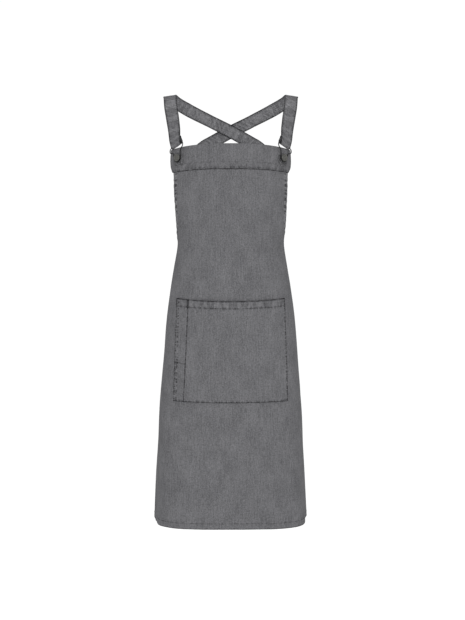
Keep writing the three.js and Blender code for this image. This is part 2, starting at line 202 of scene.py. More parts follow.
# The strap over the shoulder: shares of half the span, the form's depth and the drop,
# then the normal of its face.
STRAP_ROWS = table("across back high face", [
    (0.897, -0.6, -0.71, (0.42, -0.84, 0.34)),
    (0.928, -0.51, -0.476, (0.24, -0.87, 0.43)),
    (0.965, -0.34, -0.235, (0.16, -0.78, 0.6)),
    (0.985, -0.14, -0.04, (0.13, -0.5, 0.85)),
    (0.995, 0.01, 0.02, (0.14, 0, 0.98)),
    (0.915, 0.2, -0.05, (0.4, 0.42, 0.81)),
    (0.705, 0.413, -0.167, (0.45, 0.76, 0.46)),
])

# The strap down the back: a share of half the way around, from the centre back and on.
STRAP_END = table("at beyond", [
    (-0.659, -0.122),
    (-0.476, 0),
    (-0.262, 0.118),
    (-0.183, 0.156),
    (0.002, 0.211),
    (0.051, 0.25),
    (0.124, 0.288),
    (0.191, 0.325),
    (0.24, 0.359),
])

# Half of the bent wire, from beside its lowest point up to its top bar.
WIRE_ROWS = table("ear wide low high", [
    (0, 0.5, 0.866, 0),
    (0, 0.866, 0.5, 0),
    (0, 1, 0, 0),
    (0, 1.07, 0, 0.3),
    (0, 1.2, 0, 0.48),
    (1, 0.7, 0, 0.575),
    (1, 0.89, 0, 0.64),
    (1, 0.99, 0, 0.76),
    (1, 0.985, 0, 0.88),
    (1, 0.9, 0, 0.975),
    (1, 0.82, 0, 1),
    (1, 0.4, 0, 1),
])

HALF_BIB = BIB / 2
BAND_END = BAND / LENGTH
FOLD_RADIUS = CLOTH / 2 + SEAM_GAP + CLOTH / 2
HEM_AT = 1 - HEM_HEIGHT / LENGTH


# The worn form

def column(rows, key, name, value):
    """A smooth curve through one column of a table."""
    last = len(rows) - 1
    i = 0
    while i < last - 1 and value > rows[i + 1][key]:
        i += 1

    def slope(k):
        a, b = rows[max(0, k - 1)], rows[min(last, k + 1)]
        return (b[name] - a[name]) / (b[key] - a[key])

    span = rows[i + 1][key] - rows[i][key]
    t = min(1.0, max(0.0, (value - rows[i][key]) / span))
    p, q = rows[i][name], rows[i + 1][name]
    near = (t ** 3 - 2 * t * t + t) * span * slope(i)
    far = (t ** 3 - t * t) * span * slope(i + 1)
    return p + (q - p) * (3 * t * t - 2 * t ** 3) + near + far


def height_of(at):
    return -DROP * (1 + at) if at < 0 else -DROP - at * LENGTH


def level_of(z):
    return -z / DROP - 1 if z > -DROP else (-DROP - z) / LENGTH


def smooth(value, low, high):
    t = np.clip((value - low) / (high - low), 0, 1)
    return t * t * (3 - 2 * t)


LEVELS = {}


def level(at):
    """One level of the form, from the centre front around to the centre back."""
    if at in LEVELS:
        return LEVELS[at]
    half = column(SECTIONS, "at", "half", at) * FORM_WIDTH / 2
    front = column(SECTIONS, "at", "front", at) * FORM_DEPTH
    back = column(SECTIONS, "at", "back", at) * FORM_DEPTH
    power = column(SECTIONS, "at", "round", at)
    turn = np.linspace(0, math.pi, LEVEL_STEPS + 1)
    deep = np.abs(np.cos(turn)) ** (2 / power)
    x = half * np.abs(np.sin(turn)) ** (2 / power)
    y = np.where(np.arange(LEVEL_STEPS + 1) < LEVEL_STEPS // 2, -front * deep, back * deep)
    run = np.concatenate([[0], np.cumsum(np.hypot(np.diff(x), np.diff(y)))])
    LEVELS[at] = (half, front, back, power, x, y, run)
    return LEVELS[at]


def half_way(at):
    """The way from the centre front to the centre back, along one level of the form."""
    return level(at)[6][-1]


def on_form(at, around):
    """Points and outward directions at one level; around may be an array."""
    half, front, back, power, xs, ys, run = level(at)
    around = np.atleast_1d(np.asarray(around, float))
    way = np.abs(around)
    x = np.interp(way, run, xs)
    y = np.interp(way, run, ys)
    deep = np.where(y < 0, front, back)
    out_x = (x / half) ** (power - 1) / half
    out_y = np.sign(y) * (np.abs(y) / deep) ** (power - 1) / deep
    size = np.hypot(out_x, out_y)
    side = np.where(around < 0, -1.0, 1.0)
    zero = np.zeros_like(x)
    point = np.stack([side * x, y, zero + height_of(at)], axis=-1)
    normal = np.stack([side * out_x / size, out_y / size, zero], axis=-1)
    return point, normal


def half_width(at):
    arm = column(EDGES, "at", "arm", at)
    flare = column(EDGES, "at", "flare", at)
    return (BIB + (WAIST - BIB) * arm + (HEM - WAIST) * flare) / 2


def fold_at(at, around):
    place = around / half_width(max(at, 0))
    push = np.zeros_like(place)
    for fold in FOLDS:
        away = (place - fold["centre"]) / fold["spread"]
        push += fold["depth"] * FOLD * smooth(at, fold["from"], 1) * np.exp(-away * away)
    return push


def on_cloth(at, around, lift):
    around = np.atleast_1d(np.asarray(around, float))
    point, normal = on_form(at, around)
    return point + normal * (lift + fold_at(at, around))[:, None]


def dip_at(around):
    return DIP * (np.abs(around) / HALF_BIB) ** 2.3


def ripple(u, v, wave):
    """A soft irregular wave between about -1 and 1."""
    seed, long_u, long_v = WAVES[wave]
    dice = np.random.default_rng(seed)
    total = np.zeros(np.broadcast(u, v).shape)
    for _ in range(7):
        a, b = dice.uniform(0.55, 1.7, 2)
        p, tilt = dice.uniform(0, 2 * math.pi), dice.uniform(-0.5, 0.5)
        turn = 2 * math.pi * (u * a / long_u + v * b * tilt / long_v)
        total += np.sin(turn + p + 1.3 * np.sin(2 * math.pi * v * b / long_v + 2 * p))
    return total / 4


def near_to(distance, reach):
    """1 at a place, falling softly to 0 away from it."""
    return np.exp(-(distance / reach) ** 2)


def unit(v):
    return v / max(np.linalg.norm(v), 1e-12)


# Meshes

def make_object(name, mesh):
    made = bpy.data.objects.new(name, mesh)
    bpy.context.scene.collection.objects.link(made)
    return made


def dress(made, look, node):
    """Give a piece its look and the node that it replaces."""
    made.data.materials.append(look)
    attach(made, "root")
    if node:
        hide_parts(node)


def close_sheet(name, outer, inner, coords, values, edge=SHEET_EDGE):
    """A closed sheet of cloth from two grids of points, with softly rounded edges."""
    rows, cols = outer.shape[:2]
    count = rows * cols
    outer, inner = outer.reshape(-1, 3), inner.reshape(-1, 3)
    index = np.arange(count).reshape(rows, cols)
    a, b = index[:-1, :-1].ravel(), index[:-1, 1:].ravel()
    c, d = index[1:, 1:].ravel(), index[1:, :-1].ravel()
    quads = [np.stack([a, d, c, b], axis=1), np.stack([a, b, c, d], axis=1) + count]
    ring = np.concatenate([index[0, :-1], index[:-1, -1], index[-1, :0:-1], index[:0:-1, 0]])
    row, col = np.divmod(ring, cols)
    inside = index[np.clip(row, 1, rows - 2), np.clip(col, 1, cols - 2)]
    middle = (outer[ring] + inner[ring]) / 2
    push = middle - (outer[inside] + inner[inside]) / 2
    push /= np.maximum(np.linalg.norm(push, axis=1), 1e-9)[:, None]
    here = np.arange(len(ring))
    after = (here + 1) % len(ring)
    base = 2 * count
    quads.append(np.stack([ring, ring[after], base + after, base + here], axis=1))
    quads.append(np.stack([base + here, base + after, count + ring[after], count + ring], axis=1))
    spots = np.concatenate([outer, inner, middle + push * edge]) * MM
    faces = np.concatenate(quads)
    mesh = bpy.data.meshes.new(name)
    mesh.vertices.add(len(spots))
    mesh.vertices.foreach_set("co", spots.ravel())
    mesh.loops.add(faces.size)
    mesh.loops.foreach_set("vertex_index", faces.ravel().astype(np.int32))
    mesh.polygons.add(len(faces))
    mesh.polygons.foreach_set("loop_start", np.arange(0, faces.size, 4, dtype=np.int32))
    mesh.polygons.foreach_set("use_smooth", np.ones(len(faces), dtype=bool))
    mesh.update(calc_edges=True)
    mesh.validate()
    chart = coords.reshape(-1, 2)
    chart = np.concatenate([chart, chart, chart[ring]]) * MM
    layer = mesh.uv_layers.new(name="cloth")
    layer.data.foreach_set("uv", chart[faces.ravel()].ravel())
    for key, grid in values.items():
        flat = np.asarray(grid, float).ravel()
        flat = np.concatenate([flat, flat, flat[ring]])
        mesh.attributes.new(key, "FLOAT", "POINT").data.foreach_set("value", flat)
    return make_object(name, mesh)


def face_directions(grid):
    """Outward directions of a grid of points: rows run down, columns run towards +X."""
    along = np.gradient(grid, axis=1)
    down = np.gradient(grid, axis=0)
    out = np.cross(down, along)
    return out / np.maximum(np.linalg.norm(out, axis=2), 1e-9)[:, :, None]


def stitch_row(spots, ups, stitch):
    """Points and faces of a row of stitches along a path of points with directions."""
    length, gap, thick = stitch
    run = np.concatenate([[0], np.cumsum(np.linalg.norm(np.diff(spots, axis=0), axis=1))])
    total = run[-1]
    count = int(total / (length + gap))
    points, faces = [], []
    for k in range(count):
        start = (k + 0.5) * total / count - length / 2
        marks = [start + length * share for share in (0, STITCH_SHOULDER, 1 - STITCH_SHOULDER, 1)]
        place = np.array([[np.interp(m, run, spots[:, i]) for i in range(3)] for m in marks])
        up = np.array([np.interp(start + length / 2, run, ups[:, i]) for i in range(3)])
        up = unit(up)
        side = unit(np.cross(place[3] - place[0], up))
        base = len(points)
        points.append(place[0] - up * thick * THREAD_SINK)
        for centre in place[1:3]:
            for turn in range(4):
                angle = math.pi * turn / 2
                points.append(centre + side * math.cos(angle) * thick * THREAD_WIDE
                              + up * math.sin(angle) * thick * THREAD_HIGH)
        points.append(place[3] - up * thick * THREAD_SINK)
        for turn in range(4):
            after = (turn + 1) % 4
            faces.append((base, base + 1 + turn, base + 1 + after))
            faces.append((base + 1 + turn, base + 5 + turn, base + 5 + after, base + 1 + after))
            faces.append((base + 5 + turn, base + 9, base + 5 + after))
    return points, faces


def make_stitches(name, rows):
    points, faces = [], []
    for spots, ups, stitch in rows:
        some, tris = stitch_row(spots, ups, stitch)
        faces += [tuple(i + len(points) for i in face) for face in tris]
        points += some
    mesh = bpy.data.meshes.new(name)
    mesh.from_pydata([tuple(p * MM) for p in points], [], faces)
    for polygon in mesh.polygons:
        polygon.use_smooth = True
    made = make_object(name, mesh)
    dress(made, thread_look, None)
    return made


# Materials

class Nodes:
    """Short ways to add and join shader nodes."""

    def __init__(self, name, rough, metal=0.0):
        self.look = bpy.data.materials.new(name)
        self.look.use_nodes = True
        self.tree = self.look.node_tree
        self.tree.nodes.clear()
        self.out = self.tree.nodes.new("ShaderNodeOutputMaterial")
        self.shader = self.tree.nodes.new("ShaderNodeBsdfPrincipled")
        self.shader.inputs["Roughness"].default_value = rough
        self.shader.inputs["Metallic"].default_value = metal
        self.tree.links.new(self.shader.outputs[0], self.out.inputs[0])

    def put(self, socket, value):
        if isinstance(value, bpy.types.NodeSocket):
            self.tree.links.new(value, socket)
        else:
            socket.default_value = value

    def math(self, kind, *values, clamp=False):
        node = self.tree.nodes.new("ShaderNodeMath")
        node.operation = kind
        node.use_clamp = clamp
        for socket, value in zip(node.inputs, values):
            self.put(socket, value)
        return node.outputs[0]

    def times(self, value, factor):
        return self.math("MULTIPLY", value, factor)

    def value(self, name):
        node = self.tree.nodes.new("ShaderNodeAttribute")
        node.attribute_name = name
        return node.outputs["Fac"]

    def chart(self):
        node = self.tree.nodes.new("ShaderNodeUVMap")
        node.uv_map = "cloth"
        split = self.tree.nodes.new("ShaderNodeSeparateXYZ")
        self.put(split.inputs[0], node.outputs[0])
        return split.outputs[0], split.outputs[1]

    def place(self):
        return self.tree.nodes.new("ShaderNodeTexCoord").outputs["Object"]

    def pack(self, x, y, z=0.0):
        node = self.tree.nodes.new("ShaderNodeCombineXYZ")
        for socket, value in zip(node.inputs, (x, y, z)):
            self.put(socket, value)
        return node.outputs[0]

    def noise(self, vector, detail, rough, scale=1.0):
        node = self.tree.nodes.new("ShaderNodeTexNoise")
        node.inputs["Scale"].default_value = scale
        node.inputs["Detail"].default_value = detail
        node.inputs["Roughness"].default_value = rough
        self.put(node.inputs["Vector"], vector)
        return node.outputs["Fac"]

    def ramp(self, value, low, high, start=0.0, end=1.0):
        node = self.tree.nodes.new("ShaderNodeMapRange")
        node.interpolation_type = "SMOOTHSTEP"
        self.put(node.inputs["Value"], value)
        node.inputs["From Min"].default_value = low
        node.inputs["From Max"].default_value = high
        node.inputs["To Min"].default_value = start
        node.inputs["To Max"].default_value = end
        return node.outputs[0]

    def near(self, value, centre, reach):
        """1 on a line, falling smoothly to 0 at a distance from it."""
        away = self.math("ABSOLUTE", self.math("SUBTRACT", value, centre))
        return self.ramp(away, 0.0, reach, 1.0, 0.0)

    def sum(self, values):
        total = values[0]
        for value in values[1:]:
            total = self.math("ADD", total, value)
        return total

    def mix(self, share, first, second):
        node = self.tree.nodes.new("ShaderNodeMix")
        node.data_type = "RGBA"
        self.put(node.inputs[0], share)
        self.put(node.inputs[6], first)
        self.put(node.inputs[7], second)
        return node.outputs[2]

    def bump(self, height, distance, strength=1.0):
        node = self.tree.nodes.new("ShaderNodeBump")
        node.inputs["Strength"].default_value = strength
        node.inputs["Distance"].default_value = distance
        self.put(node.inputs["Height"], height)
        self.put(self.shader.inputs["Normal"], node.outputs[0])


DENIM_DARK = (0.062, 0.062, 0.0656, 1)
DENIM_LIGHT = (0.15, 0.149, 0.156, 1)
# The pale colour is a painted highlight for pucker and crease crests; the shade colour is painted
# shade for seam grooves, pucker hollows, crease troughs and cloth edges.
DENIM_PAINTED_HIGHLIGHT = (0.25, 0.249, 0.258, 1)
DENIM_PAINTED_SHADE = (0.012, 0.012, 0.013, 1)
BLACK = (0, 0, 0, 1)
DENIM_ROUGH = 0.93
DENIM_SHINE = 0.04
TONE_LOW = 1.23
TONE_HIGH = 2.26
DEEPEST = 0.96
DENIM_BUMP = 0.0006

# The grain of the denim: how fine each texture is across and down, and its shares in the
# tone and in the relief.
GRAINS = table("across down detail rough tone relief", [
    (680.0, 95.0, 2.0, 0.6, 0.86, 0.35),
    (330.0, 22.0, 2.0, 0.5, 0.5, 0),
    (640.0, 520.0, 1.0, 0.5, 0.95, 0.35),
    (330.0, 260.0, 1.0, 0.5, 0.6, 0),
    (30.0, 20.0, 2.0, 0.5, 0.45, 1.0),
])
TWILL_ACROSS = 6200.0
TWILL_DOWN = 4400.0
TWILL_TONE = 0.12
TWILL_RELIEF = 0.1

# Soft creases that run aslant over a strap, in relief, with painted highlight on their crests and
# painted shade in their troughs
CREASE_LEAN = 0.9
CREASE_FINE = 165.0
CREASE_LONG = 30.0
CREASE_RELIEF = 2.0

# A seam: the distance that it follows and the value it lies at, the way it runs, the groove's
# width, its painted shade and how uneven that shade is, and the puckers beside it: how far they
# reach, how close they are, how much shade is painted in their hollows and how much highlight is
# painted on their crests.
SEAM_COLUMNS = "by at run wide dark uneven reach pitch hollow pale".split()
SEAM = {"reach": 0.008, "pitch": 260, "hollow": 0.4, "pale": 0.2, "sink": 0.7, "pull": 1.4,
        "spread": 0.3}
PATCH_LONG = 60.0
PATCH_APART = 900.0


def seam(*values, **changes):
    return {**SEAM, **dict(zip(SEAM_COLUMNS, values)), **changes}


def painted_edge_shade(by, wide, dark):
    """Painted shade along a cloth edge, without puckers."""
    return seam(by, 0, "v", wide, dark, 0.3, sink=0, pull=0)


def denim(name, seams, shade=1.0, creases=0.0):
    """Washed grey denim, puckered along its seams, with painted shade in seam grooves, pucker
    hollows, crease troughs and along edges, and painted highlight on pucker and crease crests.
    """
    n = Nodes(name, DENIM_ROUGH)
    u, v = n.chart()
    diagonal = n.math("ADD", n.times(u, TWILL_ACROSS), n.times(v, TWILL_DOWN))
    twill = n.math("MULTIPLY_ADD", n.math("SINE", diagonal), 0.5, 0.5)
    tones, height = [], [n.times(twill, TWILL_RELIEF)]
    for grain in GRAINS:
        weave = n.pack(n.times(u, grain["across"]), n.times(v, grain["down"]))
        weave = n.noise(weave, grain["detail"], grain["rough"])
        tones.append(n.times(weave, grain["tone"]))
        if grain["relief"]:
            height.append(n.times(weave, grain["relief"]))
    tones.append(n.times(twill, TWILL_TONE))
    share = n.ramp(n.sum(tones), TONE_LOW, TONE_HIGH)
    # dark gathers painted shade and light gathers painted highlight.
    dark, light = [], []
    for line in seams:
        away = n.value(line["by"])
        runs = u if line["run"] == "u" else v
        if line["pull"]:
            near = n.near(away, line["at"], line["reach"])
            wide = line["pitch"] * line["spread"]
            puff = n.noise(n.pack(n.times(runs, line["pitch"]), n.times(away, wide)), 1.0, 0.5)
            puff = n.ramp(puff, 0.4, 0.6)
            # Pucker crests get painted highlight, the hollows between them painted shade.
            crest = n.times(puff, near)
            height.append(n.times(crest, line["pull"]))
            light.append(n.times(crest, line["pale"]))
            dark.append(n.times(n.math("SUBTRACT", near, crest), line["hollow"]))
        # The groove gets painted shade, uneven along its length.
        groove = n.near(away, line["at"], line["wide"])
        patch = n.noise(n.pack(n.times(runs, PATCH_LONG), line["at"] * PATCH_APART), 2.0, 0.5)
        patch = n.ramp(patch, 0.3, 0.6, 1.0 - line["uneven"], 1.0)
        height.append(n.times(groove, -line["sink"]))
        dark.append(n.times(n.times(groove, patch), line["dark"]))
    if creases:
        aslant = n.math("MULTIPLY_ADD", u, CREASE_LEAN, v)
        fold = n.noise(n.pack(n.times(aslant, CREASE_FINE), n.times(u, CREASE_LONG)), 1.0, 0.4)
        # Painted highlight on the crease crests and painted shade in their troughs.
        light.append(n.ramp(fold, 0.5, 0.7, 0.0, creases))
        dark.append(n.ramp(fold, 0.3, 0.46, creases * 0.8, 0.0))
        height.append(n.times(fold, CREASE_RELIEF))
    base = n.mix(share, DENIM_DARK, DENIM_LIGHT)
    # Painted highlight, then painted shade, laid over the denim's own colour.
    base = n.mix(n.math("MINIMUM", n.sum(light), 1.0), base, DENIM_PAINTED_HIGHLIGHT)
    base = n.mix(n.math("MINIMUM", n.sum(dark), DEEPEST), base, DENIM_PAINTED_SHADE)
    if shade != 1.0:
        base = n.mix(1 - shade, base, BLACK)
    n.put(n.shader.inputs["Base Color"], base)
    n.shader.inputs["Specular IOR Level"].default_value = DENIM_SHINE
    n.bump(n.sum(height), DENIM_BUMP)
    return n.look


def metal(name, colour, rough, scale, wear):
    """Dull metal with fine scratches and a little wear."""
    n = Nodes(name, rough, 0.95)
    place = n.place()
    patch = n.noise(place, 3.0, 0.6, scale)
    fine = n.noise(place, 2.0, 0.6, scale * 12)
    dark = tuple(c * 0.7 for c in colour[:3]) + (1,)
    worn = tuple(min(1, c * wear) for c in colour[:3]) + (1,)
    base = n.mix(n.ramp(patch, 0.35, 0.7), dark, colour)
    base = n.mix(n.ramp(fine, 0.62, 0.8), base, worn)
    n.put(n.shader.inputs["Base Color"], base)
    n.put(n.shader.inputs["Roughness"], n.ramp(patch, 0.3, 0.7, rough * 0.8, rough * 1.3))
    n.bump(fine, 0.00004)
    return n.look


THREAD_DARK = (0.085, 0.085, 0.09, 1)
THREAD_LIGHT = (0.17, 0.17, 0.178, 1)


def thread():
    n = Nodes("thread", 0.7)
    twist = n.noise(n.place(), 1.0, 0.5, 2600.0)
    n.put(n.shader.inputs["Base Color"], n.mix(twist, THREAD_DARK, THREAD_LIGHT))
    n.bump(twist, 0.0001)
    return n.look


thread_look = thread()
wire_look = metal("dark_wire", (0.022, 0.022, 0.023, 1), 0.4, 260.0, 3.0)
button_look = metal("gunmetal", (0.125, 0.125, 0.117, 1), 0.5, 320.0, 1.7)


# The panel

def panel_rows():
    ends = [(0.0, BAND_END, 16), (BAND_END, 0.2, 36), (0.2, ARM_END, 40), (ARM_END, HEM_AT, 130)]
    rows = []
    for low, high, count in ends:
        rows += list(np.linspace(low, high, count, endpoint=False))
    folded = HEM_AT + 0.0012
    rows += [HEM_AT, folded]
    rows += list(np.linspace(folded, 1, 6)[1:])
    return np.array(rows)


def panel_columns(half):
    edge = np.array(PANEL_INSETS)
    middle = np.linspace(-half + PANEL_MIDDLE, half - PANEL_MIDDLE, 152)
    return np.concatenate([-half + edge, middle, half - edge[::-1]])


PANEL_SEAMS = [
    # Puckered hem seams with painted shade and highlight, then painted shade along the side edges
    # and the hem's lower edge.
    seam("side", 0.0075, "v", 0.0014, 0.35, 0.9, 0.009, 215, 0.7, 0.4),
    seam("low", 0.0128, "u", 0.0012, 0.45, 0.9, 0.008, 160, 0.16, 0.08),
    painted_edge_shade("side", 0.0016, 0.65),
    painted_edge_shade("low", 0.0026, 0.85),
]
PANEL_WAVE = 0.7
SIDE_TUCK = 0.5
HEM_TUCK = 0.45


def make_panel():
    rows = panel_rows()
    outer, inner, chart, side, low = [], [], [], [], []
    for at in rows:
        half = half_width(at)
        around = panel_columns(half)
        fade = max(0.0, 1 - at / BAND_END)
        drop = (dip_at(around) + FOLD_RADIUS + CLOTH / 2) * fade
        down = at * LENGTH
        from_edge = half - np.abs(around)
        from_hem = (1 - at) * LENGTH
        wave = PANEL_WAVE * ripple(around, down, "panel") * smooth(at, BAND_END, 0.2)
        tuck = near_to(from_edge, 16.0) * SIDE_TUCK * ripple(down, around * 0, "side tuck")
        tuck = tuck + near_to(from_hem, 20.0) * HEM_TUCK * ripple(around, 0.0, "hem tuck")
        lift = (wave + tuck) * smooth(at, BAND_END, BAND_END + 0.02)
        double = 0.5 * (smooth(-from_edge, -SIDE_HEM - HEM_STEP, -SIDE_HEM)
                        + smooth(-from_hem, -HEM_HEIGHT - HEM_STEP, -HEM_HEIGHT))
        double = np.minimum(double, 0.6) * smooth(at, BAND_END - 0.01, BAND_END + 0.01)
        point, normal = on_form(at, around)
        if fade > 0:
            for k, a in enumerate(around):
                lower = round(level_of(height_of(at) - drop[k]), 5)
                p, m = on_form(lower, a)
                point[k], normal[k] = p[0], m[0]
        for grid, shift in ((outer, CLOTH / 2 + double * 0.5), (inner, -CLOTH / 2 - double)):
            total = shift + fold_at(at, around) + lift
            grid.append(point + normal * total[:, None])
        chart.append(np.stack([around, np.full_like(around, -down)], axis=1))
        side.append(from_edge * MM)
        low.append(np.full_like(around, from_hem * MM))
    outer, inner = np.array(outer), np.array(inner)
    sheet = close_sheet("denim_panel", outer, inner, np.array(chart),
                        {"side": np.array(side), "low": np.array(low)})
    dress(sheet, denim("denim_panel", PANEL_SEAMS), "apron_panel")
    ups = face_directions(outer)
    spots = outer + ups * 0.1
    start = int(np.argmin(np.abs(rows - BAND_END))) + 1
    last = len(rows) - 5
    stitches = make_stitches("hem_stitches", [
        (spots[start:, 3], ups[start:, 3], STITCH),
        (spots[start:, -4], ups[start:, -4], STITCH),
        (spots[last, 3:-3], ups[last, 3:-3], STITCH),
    ])
    area = 0.0
    for above, below in zip(rows[:-1], rows[1:]):
        area += (half_width(above) + half_width(below)) * (below - above) * LENGTH


# The band

BAND_SEAMS = [
    # A painted shadow along the band's lower edge, with puckers above it; painted shade and
    # highlight in the puckers here, around the buttons and along the sides.
    seam("low", 0, "u", 0.002, 0.85, 0.6, 0.019, 125, 0.34, 0.07),
    seam("low", 0.0035, "u", 0.001, 0.2, 0.9, 0.004, 330, 0.3, 0.12),
    seam("low", 0.0165, "u", 0.0012, 0.22, 0.9, 0.006, 150, 0.14, 0.08, sink=-0.4),
    seam("button", 0.011, "u", 0.001, 0, 0.5, 0.011, 260, 0.6, 0.12, spread=1.2),
    seam("side", 0, "v", 0.001, 0.5, 0.6, 0.008, 210, 0.45, 0.1),
]
FAR_FROM_BUTTON = 0.1
BAND_PLEAT = 0.55
BAND_PUFF = 0.4
FRONT_LIFT = 0.4


def make_band():
    columns = np.linspace(-1, 1, 121)
    stations = [(d, math.pi) for d in np.linspace(0, 1, 26, endpoint=False)]
    stations += [(1.0, math.pi * (1 - k / 6)) for k in range(7)]
    stations += [(d, 0.0) for d in np.linspace(1, 0, 27)[1:]]
    outer, inner, chart = [], [], []
    values = {"low": [], "button": [], "side": []}
    for down, turn in stations[::-1]:
        low = 1 - down
        in_front = turn == 0.0
        half = HALF_BIB + OVERHANG * column(BAND_SIDES, "down", "out", low)
        around = columns * half
        pleat = ripple(around, low * 9, "band pleat") * near_to((1 - low) * BAND, 13)
        puff = 0.9 * smooth(low, 0.55, 0.93) * (1 - smooth(low, 0.94, 1.0))
        soft = 0.35 * ripple(around, low * BAND, "band")
        swell = BAND_PLEAT * pleat + BAND_PUFF * puff + soft * 0.5 + FRONT_LIFT
        for side, grid in ((1, outer), (-1, inner)):
            reach = np.full_like(around, FOLD_RADIUS + side * CLOTH / 2)
            if in_front:
                reach += swell * (side + 3) / 4
            line = []
            for a, far in zip(around, reach):
                top = DROP + dip_at(a) + FOLD_RADIUS + CLOTH / 2
                z = -top - (DROP + BAND + dip_at(a) * 0.35 - top) * low
                spot = on_cloth(round(level_of(z), 5), a, far * math.cos(turn))[0]
                spot[2] += far * math.sin(turn)
                line.append(spot)
            grid.append(line)
        run = low * BAND if turn < 1 else -low * BAND
        chart.append(np.stack([around, np.full_like(around, -run)], axis=1))
        button = np.full_like(around, FAR_FROM_BUTTON)
        if in_front:
            button = np.hypot(np.abs(around) - (HALF_BIB - BUTTON_INSET),
                              low * BAND - BUTTON_DROP) * MM
        values["low"].append(np.full_like(around, (1 - low) * BAND * MM))
        values["button"].append(button)
        values["side"].append((half - np.abs(around)) * MM)
    outer = np.array(outer)
    sheet = close_sheet("denim_band", outer, np.array(inner), np.array(chart), values)
    dress(sheet, denim("denim_band", BAND_SEAMS, shade=0.98), "bib_band")
    ups = face_directions(outer)
    stitches = make_stitches("band_stitches", [(outer[1] + ups[1] * 0.05, ups[1], BAND_STITCH)])


# The pocket

def pocket_width(down):
    return POCKET_WIDTH - POCKET_TAPER * (1 - down)


def pocket_point(down, middle, side, extra):
    around = middle * pocket_width(down) / 2
    sag = POCKET_SAG * (1 - middle * middle) * (1 - down * 0.6)
    z = -DROP - POCKET_DROP - down * POCKET_HEIGHT - sag
    ease = POCKET_EASE * (1 - middle ** 4) * max(0.0, 1 - down / 0.8) ** 2
    lift = CLOTH + SEAM_GAP + ease + side * CLOTH / 2 + extra
    return on_cloth(round(level_of(z), 5), around, lift)[0]


def pen_place(down):
    """How far the pen seam lies from the pocket's left edge."""
    return PEN_WIDTH + (PEN_BASE - PEN_WIDTH) * down


POCKET_SEAMS = [
    seam("left", 0.0014, "v", 0.0018, 0.6, 0.8, 0.0036, 300, 0.85, 0.2),
    seam("left", 0.0074, "v", 0.001, 0.2, 0.9, 0.0034, 300, 0.75, 0.25),
    seam("right", 0.001, "v", 0.002, 0.75, 0.75, 0.005, 240, 0.6, 0.25),
    seam("low", 0.001, "u", 0.002, 0.7, 0.75, 0.006, 170, 0.4, 0.15),
    seam("top", 0.0168, "u", 0.0016, 0.8, 0.75, 0.006, 170, 0.4, 0.1),
    seam("top", 0.008, "u", 0.001, 0, 0.5, 0.01, 85, 0.28, 0.14),
    # A painted shadow along the top of the pocket's mouth.
    seam("top", 0, "u", 0.0042, 0.95, 0.75, sink=0, pull=0),
    seam("pen", 0, "v", 0.0017, 0.8, 0.65, 0.004, 260, 0.3, 0.1),
    # Painted shadow in the opening of the pen slot.
    seam("slot", 0, "v", 0.0042, 0.96, 0, sink=1.5, pull=0),
    # Painted shade at the two top corners of the pocket.
    seam("corner", 0, "v", 0.0036, 0.9, 0.2, sink=0, pull=0),
    seam("penlow", 0, "u", 0.002, 0.8, 0.3, 0.004, 260, 0.3, 0.15),
]
POCKET_PUCKER = 0.4
PEN_GROOVE = 0.45
PEN_CLEAR = 60
MOUTH_FOLD = 0.7
FRONT_EXTRA = 0.25
PEN_FALL = 0.09


